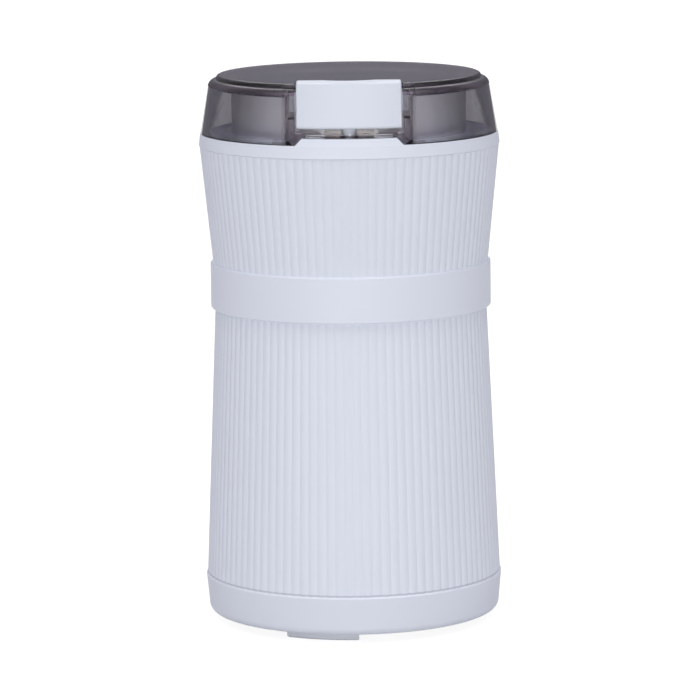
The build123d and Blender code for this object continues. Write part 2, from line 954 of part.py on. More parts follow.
def button_cap():
    half = button_width / 2
    front = -lid_bottom_radius - overrun
    body = block(-half, half, front, -pad_back, button_bottom, button_top)
    body -= post(button_back, button_bottom, pad_under)
    low = button_bottom - overrun
    high = button_top + overrun
    body &= turned(
        (0, low),
        (skirt_radius(low) + button_proud, low),
        (skirt_radius(high) + button_proud, high),
        (0, high),
    )
    shown = body.edges().group_by(Axis.Z)[-1]
    shown += body.edges().filter_by(lambda e: e.center().Y < -rod_front)
    body = fillet(shown, button_round)
    ball_height = button_top - dimple_depth + dimple_radius
    body -= Pos(0, -pad_back - button_pad_depth / 2, ball_height) * Sphere(dimple_radius)
    body += button_stem()
    for side in (-1, 1):
        body += button_ear(side)
    return body


def button_stem():
    stem_low = rod_top + fit_clearance
    profile = turned(
        (0, stem_low),
        (stem_end_radius, stem_low),
        (stem_top_radius, button_bottom),
        (stem_top_radius, button_bottom + button_round),
        (0, button_bottom + button_round),
    )
    return Pos(0, -rod_front, 0) * profile


def button_ear(side):
    # Side rib that runs in the jamb's guide channel and keeps the button in the lid
    start = button_width / 2 - button_round
    end = pocket_half + guide_depth - slide_clearance
    half = guide_width / 2 - slide_clearance
    bend = guide_low + guide_width / 2 + button_travel
    return round_ended_rib(side, start, end, half, bend, guide_high - fit_clearance)


def switch_rod():
    # Round rod under the stem, cranked inwards above the switch's lever
    lever_top = pivot_height + (lever_arm + pin_radius) * math.tan(lever_angle) + lever_eye_top
    body = post(rod_radius, flange_under, rod_top, 0, -rod_front)
    front = -rod_front - rod_flange
    body += block(-rod_flange, rod_flange, front, -pin_front + pin_radius, flange_under, flange_top)
    return body + post(pin_radius, lever_top + slide_clearance, flange_under, 0, -pin_front)


def rod_spring():
    height = rod_spring_height - 2 * fit_clearance
    coil = coil_spring("rod_spring", rod_spring_radius, rod_spring_wire, height, rod_spring_turns)
    return Pos(0, -pin_front, ledge_plate_top + fit_clearance) * coil


def switch_bracket():
    # Two legs under the deck, a ledge that carries the rod's spring and shelves for the switch
    y_low = -switch_front - switch_leg_width / 2
    y_high = -switch_front + switch_leg_width / 2
    shelf_low = switch_under - switch_shelf
    half_tongue = ledge_tongue / 2
    body = block(-leg_outer, leg_outer, y_low, y_high, ledge_plate_under, ledge_plate_top)
    body += block(
        -half_tongue,
        half_tongue,
        -pin_front - half_tongue,
        y_high,
        ledge_plate_under,
        ledge_plate_top,
    )
    for side in (-1, 1):
        inner, outer = sorted((side * leg_inner, side * leg_outer))
        body += block(inner, outer, y_low, y_high, shelf_low, deck_under)
        inner, outer = sorted((side * shelf_inner, side * leg_outer))
        body += block(inner, outer, y_low, y_high, shelf_low, switch_under)
    hole = pin_radius + fit_clearance
    return body - post(hole, ledge_plate_under - overrun, ledge_plate_top + overrun, 0, -pin_front)


def microswitch():
    y_low = -switch_front - switch_width / 2
    y_high = -switch_front + switch_width / 2
    body = block(-switch_half, switch_half, y_low, y_high, switch_under, switch_top)
    ear = lever_eye_radius
    for side in (-1, 1):
        wall_middle = -switch_front + side * (lever_width / 2 + fit_clearance + lever_ear_wall / 2)
        body += block(
            -lever_arm - ear,
            -lever_arm + ear,
            wall_middle - lever_ear_wall / 2,
            wall_middle + lever_ear_wall / 2,
            switch_top,
            switch_top + lever_ear_rise,
        )
    body -= lever_axle(lever_pin_radius, lever_width + 2 * fit_clearance + 2 * lever_ear_wall)
    for place in (-1, 0, 1):
        x = place * tab_pin_spacing
        body += block(
            x - tab_pin_width / 2,
            x + tab_pin_width / 2,
            -switch_front - tab_pin_wall / 2,
            -switch_front + tab_pin_wall / 2,
            switch_under - tab_pin_length,
            switch_under,
        )
    return body


def lever_axle(radius, length):
    turned_rod = Rot(90, 0, 0) * Cylinder(radius, length)
    return Pos(-lever_arm, -switch_front, pivot_height) * turned_rod


def lever_pin():
    return lever_axle(lever_pin_radius, lever_width + 2 * fit_clearance + 2 * lever_ear_wall)


def switch_lever():
    # Strip that rises from its eye on the pin to the tip past the rod
    length = (lever_arm + lever_past) / math.cos(lever_angle)
    half = lever_width / 2
    eye_radius = lever_eye_radius - fit_clearance
    eye = Rot(90, 0, 0) * Cylinder(eye_radius, lever_width)
    strip = block(0, length, -half, half, eye_radius - lever_wall, eye_radius)
    arm = Rot(0, -lever_lift, 0) * (eye + strip)
    arm -= Rot(90, 0, 0) * Cylinder(lever_pin_radius + shaft_clearance, lever_width + overrun)
    return Pos(-lever_arm, -switch_front, pivot_height) * arm


def upper_bracket():
    # Plate under the cup with the bearing boss, the threaded neck and two legs to the stator
    body = post(upper_disc_radius, upper_plate_under, cup_under)
    half = bracket_arm_width / 2
    body += block(-bracket_reach, bracket_reach, -half, half, upper_plate_under, cup_under)
    body += post(boss_radius, upper_boss_under, cup_under)
    body += post(cup_neck_thread, cup_under, neck_top)
    for side in (-1, 1):
        x = side * tie_spacing / 2
        body += post(leg_radius, stack_top, upper_plate_under, x)
        body -= post(tie_radius, stack_top - overrun, stack_top + tie_thread, x)
    return body - post(bearing_radius, upper_boss_under - overrun, neck_top + overrun)


def lower_bracket():
    body = post(lower_disc_radius, lower_plate_under, lower_plate_top)
    half = bracket_arm_width / 2
    body += block(-bracket_reach, bracket_reach, -half, half, lower_plate_under, lower_plate_top)
    body += post(boss_radius, lower_boss_under, lower_plate_under)
    for side in (-1, 1):
        x = side * tie_spacing / 2
        body += post(leg_radius, lower_plate_top, stack_under, x)
        body -= post(tie_radius + fit_clearance, lower_plate_under - overrun, stack_under + overrun, x)
        body += holder_post(side)
    return body - post(bearing_radius, lower_boss_under - overrun, lower_plate_top + overrun)


def holder_post(side):
    holder_low = brush_middle - brush_height / 2 - brush_gap - holder_wall
    middle = (holder_near + holder_far) / 2
    half = holder_post_width / 2
    near, far = sorted((side * (middle - half), side * (middle + half)))
    return block(-half, half, near, far, lower_plate_top, holder_low)


def bearing(low, high):
    return ring(bearing_radius, shaft_radius + shaft_clearance, low, high)


def tie_bolts():
    bolts = []
    for side in (-1, 1):
        x = side * tie_spacing / 2
        bolt = post(tie_radius, lower_plate_under, stack_top + tie_thread, x)
        head_low = lower_plate_under - tie_head_height
        bolts.append(bolt + post(tie_head_radius, head_low, lower_plate_under, x))
    return bolts


def stator_core():
    body = block(-stator_half_x, stator_half_x, -stator_half_y, stator_half_y, stack_under, stack_top)
    body &= post(stator_radius, stack_under, stack_top)
    inner_x = stator_half_x - yoke_wall
    body -= block(-inner_x, inner_x, -pole_outer, pole_outer, stack_under - overrun, stack_top + overrun)
    half_pole = pole_width / 2
    half_shoe = shoe_width / 2
    poles = block(-half_pole, half_pole, -pole_outer, pole_outer, stack_under, stack_top)
    shoes = post(shoe_outer, stack_under, stack_top)
    shoes &= block(-half_shoe, half_shoe, -shoe_outer, shoe_outer, stack_under, stack_top)
    body += poles
    body += shoes
    body -= post(bore_radius, stack_under - overrun, stack_top + overrun)
    for side in (-1, 1):
        x = side * tie_spacing / 2
        body -= post(tie_radius + fit_clearance, stack_under - overrun, stack_top + overrun, x)
    return body


def field_coils():
    # One winding round each pole, between the shoe and the yoke
    near = shoe_outer + fit_clearance
    far = pole_outer - fit_clearance
    half = pole_width / 2 + fit_clearance
    low = stack_under - fit_clearance
    high = stack_top + fit_clearance
    coils = []
    for side in (-1, 1):
        y_low, y_high = sorted((side * near, side * far))
        wide = half + coil_wall
        outer = block(-wide, wide, y_low, y_high, low - coil_wall, high + coil_wall)
        outer = fillet(outer.edges().filter_by(Axis.Y), coil_round)
        coils.append(outer - block(-half, half, y_low - overrun, y_high + overrun, low, high))
    return coils


def motor_shaft():
    return post(shaft_radius, lower_boss_under + fit_clearance, nut_top - blade_nut_dome)


def rotor_core():
    body = post(rotor_radius, stack_under, stack_top)
    body -= post(shaft_radius, stack_under - overrun, stack_top + overrun)
    slot = block(
        rotor_radius - slot_depth,
        rotor_radius + overrun,
        -slot_width / 2,
        slot_width / 2,
        stack_under - overrun,
        stack_top + overrun,
    )
    return body - [turn * slot for turn in around(rotor_slots)]


def armature_winding():
    # End turns above and below the laminations
    outer = rotor_radius - winding_inset
    ends = []
    for low, far_end in ((stack_under - winding_height, 0), (stack_top, -1)):
        end = ring(outer, shaft_radius + fit_clearance, low, low + winding_height)
        far_face = end.faces().sort_by(Axis.Z)[far_end]
        rim = far_face.edges().sort_by(SortBy.LENGTH)[-1]
        ends.append(fillet(rim, winding_round))
    return ends


def commutator():
    body = ring(commutator_radius, shaft_radius, commutator_under, commutator_top)
    gap = block(
        commutator_radius - bar_gap_depth,
        commutator_radius + overrun,
        -bar_gap / 2,
        bar_gap / 2,
        commutator_under - overrun,
        commutator_top + overrun,
    )
    return body - [turn * gap for turn in around(commutator_bars)]


def cooling_fan():
    low = stack_top + fan_rise
    body = ring(fan_hub_radius, shaft_radius, low, low + fan_hub_height)
    body += ring(fan_radius, shaft_radius, low, low + fan_plate)
    half = fan_blade_wall / 2
    vane = block(fan_hub_radius - half, fan_radius, -half, half, low, low + fan_hub_height)
    vane &= post(fan_radius, low, low + fan_hub_height)
    return body + [turn * vane for turn in around(fan_blades)]


def brush_along(side, y_low, y_high, half_x, half_z):
    near, far = sorted((side * y_low, side * y_high))
    return block(-half_x, half_x, near, far, brush_middle - half_z, brush_middle + half_z)


def carbon_brushes():
    near = commutator_radius + brush_gap
    far = near + brush_length
    return [brush_along(side, near, far, brush_width / 2, brush_height / 2) for side in (-1, 1)]


def brush_holders():
    # Square brass tubes with a closed outer end
    inner_x = brush_width / 2 + brush_gap
    inner_z = brush_height / 2 + brush_gap
    holders = []
    for side in (-1, 1):
        tube = brush_along(side, holder_near, holder_far, inner_x + holder_wall, inner_z + holder_wall)
        hollow_far = holder_far - holder_wall
        holders.append(tube - brush_along(side, holder_near - overrun, hollow_far, inner_x, inner_z))
    return holders


def brush_springs():
    near = commutator_radius + brush_gap + brush_length + fit_clearance
    length = holder_far - holder_wall - fit_clearance - near
    radius = brush_spring_radius
    coil = coil_spring("brush_springs", radius, brush_spring_wire, length, brush_spring_turns)
    front = Pos(0, -near, brush_middle) * Rot(90, 0, 0) * coil
    return [front, Rot(0, 0, 180) * front]


def motor_damper():
    # Rubber sleeve in the seat, with a flange under the lower bracket
    return turned(
        (boss_radius + fit_clearance, seat_top - damper_sleeve),
        (boss_radius + damper_wall - fit_clearance, seat_top - damper_sleeve),
        (boss_radius + damper_wall - fit_clearance, seat_top),
        (seat_radius, seat_top),
        (seat_radius, lower_plate_under),
        (boss_radius + fit_clearance, lower_plate_under),
    )


def blade_hub():
    return ring(hub_radius, shaft_radius, hub_under, blade_under)


def grinding_blade():
    # Flat strip with both wings bent up and their leading corners cut away
    outline = Polyline(
        (-blade_reach, blade_under + blade_tip_rise),
        (-blade_flat, blade_under),
        (blade_flat, blade_under),
        (blade_reach, blade_under + blade_tip_rise),
        (blade_reach, blade_top + blade_tip_rise),
        (blade_flat, blade_top),
        (-blade_flat, blade_top),
        (-blade_reach, blade_top + blade_tip_rise),
        close=True,
    )
    half = blade_width / 2
    body = Pos(0, half, 0) * extrude(Plane.XZ * make_face(outline), blade_width)
    corner = Polyline(
        (blade_flat, half),
        (blade_reach + overrun, half),
        (blade_reach + overrun, -half + blade_tip_width),
        close=True,
    )
    cut = extrude(make_face(corner), blade_tip_rise + 2 * blade_wall)
    body -= [turn * (Pos(0, 0, blade_under - blade_wall / 2) * cut) for turn in around(2)]
    return body - post(shaft_radius, blade_under - overrun, blade_top + overrun)


def blade_nut():
    hexagon = RegularPolygon(blade_nut_radius, blade_nut_sides)
    body = Pos(0, 0, blade_top) * extrude(hexagon, blade_nut_height - blade_nut_dome)
    body += turned(
        (0, nut_top - blade_nut_dome),
        (blade_nut_radius - blade_nut_dome, nut_top - blade_nut_dome),
        (blade_nut_radius - 2 * blade_nut_dome, nut_top),
        (0, nut_top),
    )
    return body - post(shaft_radius, blade_top - overrun, nut_top - blade_nut_dome)


def wire(name, *points):
    # Insulated wire along straight runs joined by tangent arcs
    path = FilletPolyline(*points, radius=wire_bend)
    start = Vector(points[0])
    way = (Vector(points[1]) - start).normalized()
    print(name, "bend radius", wire_bend, "length", round(path.length))
    return sweep(Plane(origin=start, z_dir=way) * Circle(wire_radius), path=path)


def switch_end(place):
    # Lower end of one of the microswitch's blade terminals
    return (place * tab_pin_spacing, -switch_front, switch_under - tab_pin_length)


def holder_end(side):
    # Middle of the closed end of a brush holder
    return (0, side * holder_far, brush_middle)


def supply_lead():
    # From the terminal block, up beside the motor and round to the microswitch
    x, y = terminal_place(-1)
    end = switch_end(1)
    return wire(
        "supply_lead",
        (x, y, floor_top + base_wall),
        (x, y, upper_boss_under),
        (end[0], end[1], upper_boss_under + wire_bend),
        end,
    )


def switch_lead():
    # From the microswitch down the front of the motor to the front brush holder
    start = switch_end(-1)
    end = holder_end(-1)
    return wire(
        "switch_lead",
        start,
        (start[0], start[1], upper_boss_under + 2 * wire_bend),
        (start[0], -lead_front, upper_boss_under),
        (start[0], -lead_front, end[2] + 2 * wire_bend),
        (end[0], -lead_front, end[2]),
        end,
    )


def return_lead():
    # From the rear brush holder down to the terminal block
    x, y = terminal_place(1)
    start = holder_end(1)
    return wire(
        "return_lead",
        start,
        (start[0], lead_front, start[2]),
        (terminal_side / 2, lead_front, start[2]),
        (x, y, lower_plate_top),
        (x, y, floor_top + base_wall),
    )


nodes = {
    "base_cap": base_cap(),
    "feet": feet(),
    "base_screws": base_screws(),
    "lower_housing": lower_housing(),
    "upper_housing": upper_housing(),
    "waist_band": waist_band(),
    "top_collar": top_collar(),
    "cup_gasket": cup_gasket(),
    "grinding_cup": grinding_cup(),
    "cup_nut": cup_nut(),
    "lid_shell": lid_shell(),
    "button_cap": button_cap(),
    "switch_rod": switch_rod(),
    "rod_spring": rod_spring(),
    "switch_bracket": switch_bracket(),
    "microswitch": microswitch(),
    "lever_pin": lever_pin(),
    "switch_lever": switch_lever(),
    "upper_bracket": upper_bracket(),
    "lower_bracket": lower_bracket(),
    "upper_bearing": bearing(upper_boss_under, neck_top),
    "lower_bearing": bearing(lower_boss_under, lower_plate_top),
    "tie_bolts": tie_bolts(),
    "stator_core": stator_core(),
    "field_coils": field_coils(),
    "motor_shaft": motor_shaft(),
    "rotor_core": rotor_core(),
    "armature_winding": armature_winding(),
    "commutator": commutator(),
    "cooling_fan": cooling_fan(),
    "carbon_brushes": carbon_brushes(),
    "brush_holders": brush_holders(),
    "brush_springs": brush_springs(),
    "motor_damper": motor_damper(),
    "blade_hub": blade_hub(),
    "grinding_blade": grinding_blade(),
    "blade_nut": blade_nut(),
    "terminal_block": terminal_block(),
    "cord_gland": cord_gland(),
    "cord_clamp": cord_clamp(),
    "clamp_screws": clamp_screws(),
    "supply_lead": supply_lead(),
    "switch_lead": switch_lead(),
    "return_lead": return_lead(),
}

os.makedirs("parts", exist_ok=True)
for name, shape in nodes.items():
    pieces = shape if isinstance(shape, list) else [shape]
    solids = [solid for piece in pieces for solid in piece.solids()]
    export_step(Compound(children=solids, label=name), f"parts/{name}.step")
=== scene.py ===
import json
import math

import bpy
from mathutils import Matrix, Vector


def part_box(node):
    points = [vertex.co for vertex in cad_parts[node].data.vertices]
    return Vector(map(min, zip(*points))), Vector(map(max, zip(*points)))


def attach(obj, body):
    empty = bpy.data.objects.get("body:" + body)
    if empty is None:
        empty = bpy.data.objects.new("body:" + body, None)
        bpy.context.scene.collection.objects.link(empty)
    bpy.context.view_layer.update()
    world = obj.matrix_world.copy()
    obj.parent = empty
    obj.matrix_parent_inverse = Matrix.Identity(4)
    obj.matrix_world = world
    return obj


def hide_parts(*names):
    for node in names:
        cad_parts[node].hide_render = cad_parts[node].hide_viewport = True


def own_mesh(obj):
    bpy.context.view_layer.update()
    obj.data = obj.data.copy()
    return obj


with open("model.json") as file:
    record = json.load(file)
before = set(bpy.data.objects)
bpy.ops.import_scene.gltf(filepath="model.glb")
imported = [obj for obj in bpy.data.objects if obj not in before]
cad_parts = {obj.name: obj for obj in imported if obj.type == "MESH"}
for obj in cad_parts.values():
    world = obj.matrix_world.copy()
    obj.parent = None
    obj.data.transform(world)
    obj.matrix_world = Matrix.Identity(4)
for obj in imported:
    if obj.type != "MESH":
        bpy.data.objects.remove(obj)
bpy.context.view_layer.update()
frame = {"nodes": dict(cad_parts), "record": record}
nodes = frame["nodes"]
print("frame in:", len(nodes), "nodes")

scene = bpy.context.scene
scene.view_settings.view_transform = "Standard"


def newGroup(name, inputs, outputs):
    # takes a vector and the given numbers, and puts out numbers
    group = bpy.data.node_groups.new(name, "ShaderNodeTree")
    sockets = group.interface
    sockets.new_socket("Vector", in_out="INPUT", socket_type="NodeSocketVector")
    for label, value in inputs.items():
        socket = sockets.new_socket(label, in_out="INPUT", socket_type="NodeSocketFloat")
        socket.default_value = value
    for label in outputs:
        sockets.new_socket(label, in_out="OUTPUT", socket_type="NodeSocketFloat")
    start = group.nodes.new("NodeGroupInput")
    end = group.nodes.new("NodeGroupOutput")
    return group, start.outputs, end.inputs


def addNode(tree, kind, links=None, **settings):
    node = tree.nodes.new(kind)
    for key, value in settings.items():
        setattr(node, key, value)
    for socket, value in (links or {}).items():
        if isinstance(value, bpy.types.NodeSocket):
            tree.links.new(value, node.inputs[socket])
        else:
            node.inputs[socket].default_value = value
    return node


def mathNode(tree, operation, first, second=0.0):
    node = addNode(tree, "ShaderNodeMath", {0: first, 1: second}, operation=operation)
    return node.outputs[0]


def spread(tree, value, low, high):
    # maps 0..1 onto low..high
    links = {"Value": value, "To Min": low, "To Max": high}
    return addNode(tree, "ShaderNodeMapRange", links).outputs["Result"]


def noise(tree, place, scale, detail, roughness=0.5):
    links = {"Vector": place, "Scale": scale, "Detail": detail, "Roughness": roughness}
    return addNode(tree, "ShaderNodeTexNoise", links).outputs["Fac"]


colourMix = {"factor": 0, "first": 6, "second": 7, "result": 2}  # sockets for colours


def mixColours(tree, factor, first, second, blend="MIX"):
    links = {
        colourMix["factor"]: factor,
        colourMix["first"]: first,
        colourMix["second"]: second,
    }
    node = addNode(tree, "ShaderNodeMix", links, data_type="RGBA", blend_type=blend)
    return node.outputs[colourMix["result"]]


def axes(tree, place):
    return addNode(tree, "ShaderNodeSeparateXYZ", {"Vector": place}).outputs


flatten = (1.0, 1.0, 0.0)


def radiusOf(tree, place):
    # distance from the upright axis
    flat = addNode(tree, "ShaderNodeVectorMath", {0: place, 1: flatten}, operation="MULTIPLY")
    span = addNode(tree, "ShaderNodeVectorMath", {0: flat.outputs[0]}, operation="LENGTH")
    return span.outputs["Value"]


testKinds = {"<": "LESS_THAN", ">": "GREATER_THAN"}


def zoneMask(tree, place, tests):
    # one where all the tests hold, and zero elsewhere
    parts = axes(tree, place)
    measures = {
        "side": mathNode(tree, "ABSOLUTE", parts["X"]),
        "rear": parts["Y"],
        "height": parts["Z"],
        "radius": radiusOf(tree, place),
    }
    mask = 1.0
    for measure, test, limit in tests:
        inside = mathNode(tree, testKinds[test], measures[measure], limit)
        mask = mathNode(tree, "MULTIPLY", mask, inside)
    return mask


grainLook = {
    "scales": {"Fine": 3200.0, "Wide": 38.0},
    "fine": {"detail": 3.0, "roughness": 0.6},
    "wide": {"detail": 4.0, "roughness": 0.55},
    "blotch": (-0.4, 1.4),
}


def makeMouldGrain():
    # fine spark-eroded grain and wide faint blotches of moulded plastic
    group, inp, out = newGroup("mouldGrain", grainLook["scales"], ("Grain", "Blotch"))
    fine = noise(group, inp["Vector"], inp["Fine"], **grainLook["fine"])
    wide = noise(group, inp["Vector"], inp["Wide"], **grainLook["wide"])
    group.links.new(fine, out["Grain"])
    group.links.new(spread(group, wide, *grainLook["blotch"]), out["Blotch"])
    return group


brushLook = {
    "scales": {"Across": 6000.0, "Along": 3.0},
    "line": {"scale": 1.0, "detail": 4.0, "roughness": 0.65},
    "smudge": {"scale": 60.0, "detail": 3.0},
    "smudgeRange": (-0.3, 1.3),
}


def makeBrushLines():
    # short scratches round the upright axis, with smudges over them
    group, inp, out = newGroup("brushLines", brushLook["scales"], ("Line", "Smudge"))
    place = inp["Vector"]
    parts = axes(group, place)
    angle = mathNode(group, "ARCTAN2", parts["Y"], parts["X"])
    around = mathNode(group, "MULTIPLY", angle, inp["Along"])
    rise = mathNode(group, "ADD", parts["Z"], radiusOf(group, place))
    up = mathNode(group, "MULTIPLY", rise, inp["Across"])
    laid = addNode(group, "ShaderNodeCombineXYZ", {"X": around, "Y": up}).outputs[0]
    line = noise(group, laid, **brushLook["line"])
    smudge = noise(group, place, **brushLook["smudge"])
    group.links.new(line, out["Line"])
    group.links.new(spread(group, smudge, *brushLook["smudgeRange"]), out["Smudge"])
    return group


stackLook = {
    "scales": {"Pitch": 0.0005, "Wobble": 0.0001},
    "stray": {"scale": 300.0, "detail": 2.0},
    "strayMiddle": 0.5,
    "shade": (0.35, 1.0),
}


def makeLayers():
    # stacked sheets or turns of wire along one axis of the vector; the Shade output is
    # painted shade in the grooves between them
    group, inp, out = newGroup("layers", stackLook["scales"], ("Ridge", "Shade"))
    place = inp["Vector"]
    stray = noise(group, place, **stackLook["stray"])
    stray = mathNode(group, "SUBTRACT", stray, stackLook["strayMiddle"])
    shift = mathNode(group, "MULTIPLY", stray, inp["Wobble"])
    height = mathNode(group, "ADD", axes(group, place)["Z"], shift)
    turn = mathNode(group, "DIVIDE", height, inp["Pitch"])
    swing = mathNode(group, "SINE", mathNode(group, "MULTIPLY", turn, math.pi))
    wave = mathNode(group, "ABSOLUTE", swing)
    group.links.new(wave, out["Ridge"])
    group.links.new(spread(group, wave, *stackLook["shade"]), out["Shade"])
    return group


mouldGrain = makeMouldGrain()
brushLines = makeBrushLines()
layers = makeLayers()
print("shared effects made")


def startMaterial(name, **sockets):
    made = bpy.data.materials.new(name)
    made.use_nodes = True
    tree = made.node_tree
    shader = tree.nodes["Principled BSDF"]
    for key, value in sockets.items():
        shader.inputs[key.replace("_", " ")].default_value = value
    place = addNode(tree, "ShaderNodeTexCoord").outputs["Object"]
    return made, tree, shader, place


def useGroup(tree, group, place, **values):
    node = tree.nodes.new("ShaderNodeGroup")
    node.node_tree = group
    tree.links.new(place, node.inputs["Vector"])
    for key, value in values.items():
        node.inputs[key].default_value = value
    return node.outputs


def setBump(tree, shader, height, distance):
    bump = addNode(tree, "ShaderNodeBump", {"Height": height, "Distance": distance})
    tree.links.new(bump.outputs["Normal"], shader.inputs["Normal"])


def shade(colour, factor=1.0):
    return tuple(c * factor for c in colour) + (1.0,)


plasticFinish = {"ior": 1.5, "blotchShade": 0.985}


def plasticMaterial(name, look):
    made, tree, shader, place = startMaterial(name, IOR=plasticFinish["ior"])
    grain = useGroup(tree, mouldGrain, place, **look.get("grain", {}))
    dull = shade(look["colour"], plasticFinish["blotchShade"])
    colour = mixColours(tree, grain["Blotch"], dull, shade(look["colour"]))
    for low, high in look.get("seams", ()):  # painted shadow in the gap under an edge
        seamShadowMask = zoneMask(tree, place, (("height", ">", low), ("height", "<", high)))
        colour = mixColours(tree, seamShadowMask, colour, look["seamShadowTint"], "MULTIPLY")
    tree.links.new(colour, shader.inputs["Base Color"])
    rough = spread(tree, grain["Blotch"], *look["rough"])
    tree.links.new(rough, shader.inputs["Roughness"])
    setBump(tree, shader, grain["Grain"], look["grainDepth"])
    return made


steelFinish = {"lowShade": 0.9, "highShade": 1.05, "drawnTurn": 0.25}


def steelMaterial(name, look):
    drawn = look.get("drawn", 0.0)
    made, tree, shader, place = startMaterial(name, Metallic=1.0, Anisotropic=drawn)
    lines = useGroup(tree, brushLines, place, **look.get("lines", {}))
    low = shade(look["colour"], steelFinish["lowShade"])
    high = shade(look["colour"], steelFinish["highShade"])
    colour = mixColours(tree, lines["Line"], low, high)
    tree.links.new(colour, shader.inputs["Base Color"])
    rough = spread(tree, lines["Smudge"], *look["rough"])
    tree.links.new(rough, shader.inputs["Roughness"])
    setBump(tree, shader, lines["Line"], look["lineDepth"])
    if drawn:  # spun on a lathe, so the gloss is drawn out upright
        spun = addNode(tree, "ShaderNodeTangent", direction_type="RADIAL", axis="Z")
        tree.links.new(spun.outputs["Tangent"], shader.inputs["Tangent"])
        shader.inputs["Anisotropic Rotation"].default_value = steelFinish["drawnTurn"]
    return made


layerFinish = {"paintedGrooveShade": 0.35}


def layeredMaterial(name, look):
    made, tree, shader, place = startMaterial(name, Metallic=look["metal"])
    turns = useGroup(tree, layers, place, Pitch=look["pitch"], Wobble=look["wobble"])
    # painted shade: the grooves between sheets and turns are darkened in the colour
    groove = shade(look["colour"], layerFinish["paintedGrooveShade"])
    colour = mixColours(tree, turns["Shade"], groove, shade(look["colour"]))
    tree.links.new(colour, shader.inputs["Base Color"])
    low, high = look["rough"]
    rough = spread(tree, turns["Ridge"], high, low)
    tree.links.new(rough, shader.inputs["Roughness"])
    setBump(tree, shader, turns["Ridge"], look["depth"])
    return made


smokedLook = {
    "ior": 1.49,
    "absorb": (0.34, 0.23, 0.38, 1.0),
    "density": 62.0,
    "grain": {"Fine": 900.0, "Wide": 26.0},
    "rough": (0.015, 0.05),
    "slantBlend": 0.5,
    "clearness": (  # by slant of the face
        (0.10, 1.0),
        (0.16, 0.97),
        (0.26, 0.58),
        (0.36, 0.25),
        (0.45, 0.19),
        (0.60, 0.30),
        (0.74, 0.10),
        (1.0, 0.04),
    ),
    "clearTint": (1.0, 1.01, 1.03),
    "newStop": 0.5,
    "innerTint": (0.985, 0.985, 0.992, 1.0),
    "zones": {
        "pocket": (("side", "<", 0.0194), ("rear", "<", -0.033), ("height", "<", 0.1715)),
        "disc": (("height", ">", 0.1737), ("height", "<", 0.1760)),
        "edge": (("radius", ">", 0.0385), ("height", ">", 0.1708), ("height", "<", 0.17419)),
        "sill": (("side", "<", 0.0076), ("rear", "<", -0.033), ("height", "<", 0.1600)),
        "jamb": (
            ("side", ">", 0.0160),
            ("side", "<", 0.0204),
            ("rear", "<", -0.036),
            ("height", "<", 0.1734),
        ),
    },
    "discTint": (0.74, 0.73, 0.75, 1.0),
    "zoneTints": {
        # painted shade: the lid's step and shoulder band is tinted darker purple
        "edge": (0.62, 0.50, 0.62, 1.0),
        "jamb": (0.74, 0.72, 0.72, 1.0),
        # painted shade: the glass beside the stem, under the button, is tinted darker
        "sill": (0.60, 0.57, 0.56, 1.0),
    },
    "zoneRoughs": {"edge": 0.32, "jamb": 0.20},
}


def smokedMaterial():
    ior = smokedLook["ior"]
    made, tree, shader, place = startMaterial("smokedClear", Transmission_Weight=1.0, IOR=ior)
    zones = {}
    for zone, tests in smokedLook["zones"].items():
        zones[zone] = zoneMask(tree, place, tests)

    grain = useGroup(tree, mouldGrain, place, **smokedLook["grain"])
    rough = spread(tree, grain["Blotch"], *smokedLook["rough"])
    for zone, value in smokedLook["zoneRoughs"].items():
        rough = spread(tree, zones[zone], rough, value)
    tree.links.new(rough, shader.inputs["Roughness"])

    slant = addNode(tree, "ShaderNodeLayerWeight", {"Blend": smokedLook["slantBlend"]})
    ramp = addNode(tree, "ShaderNodeValToRGB", {"Fac": slant.outputs["Facing"]})
    stops = ramp.color_ramp.elements
    while len(stops) < len(smokedLook["clearness"]):
        stops.new(smokedLook["newStop"])
    for stop, (position, share) in zip(stops, smokedLook["clearness"]):
        stop.position = position
        stop.color = shade(smokedLook["clearTint"], share)

    # faces seen from inside and the pocket's faces stay clear
    fromInside = addNode(tree, "ShaderNodeNewGeometry").outputs["Backfacing"]
    clear = mathNode(tree, "MAXIMUM", fromInside, zones["pocket"])
    outer = ramp.outputs["Color"]
    outer = mixColours(tree, zones["disc"], outer, smokedLook["discTint"], "MULTIPLY")
    tint = mixColours(tree, clear, outer, smokedLook["innerTint"])
    # the edge and sill tints below are painted shade
    for zone, value in smokedLook["zoneTints"].items():
        tint = mixColours(tree, zones[zone], tint, value, "MULTIPLY")
    tree.links.new(tint, shader.inputs["Base Color"])

    links = {"Color": smokedLook["absorb"], "Density": smokedLook["density"]}
    inside = addNode(tree, "ShaderNodeVolumeAbsorption", links)
    output = tree.nodes["Material Output"]
    tree.links.new(inside.outputs["Volume"], output.inputs["Volume"])
    return made


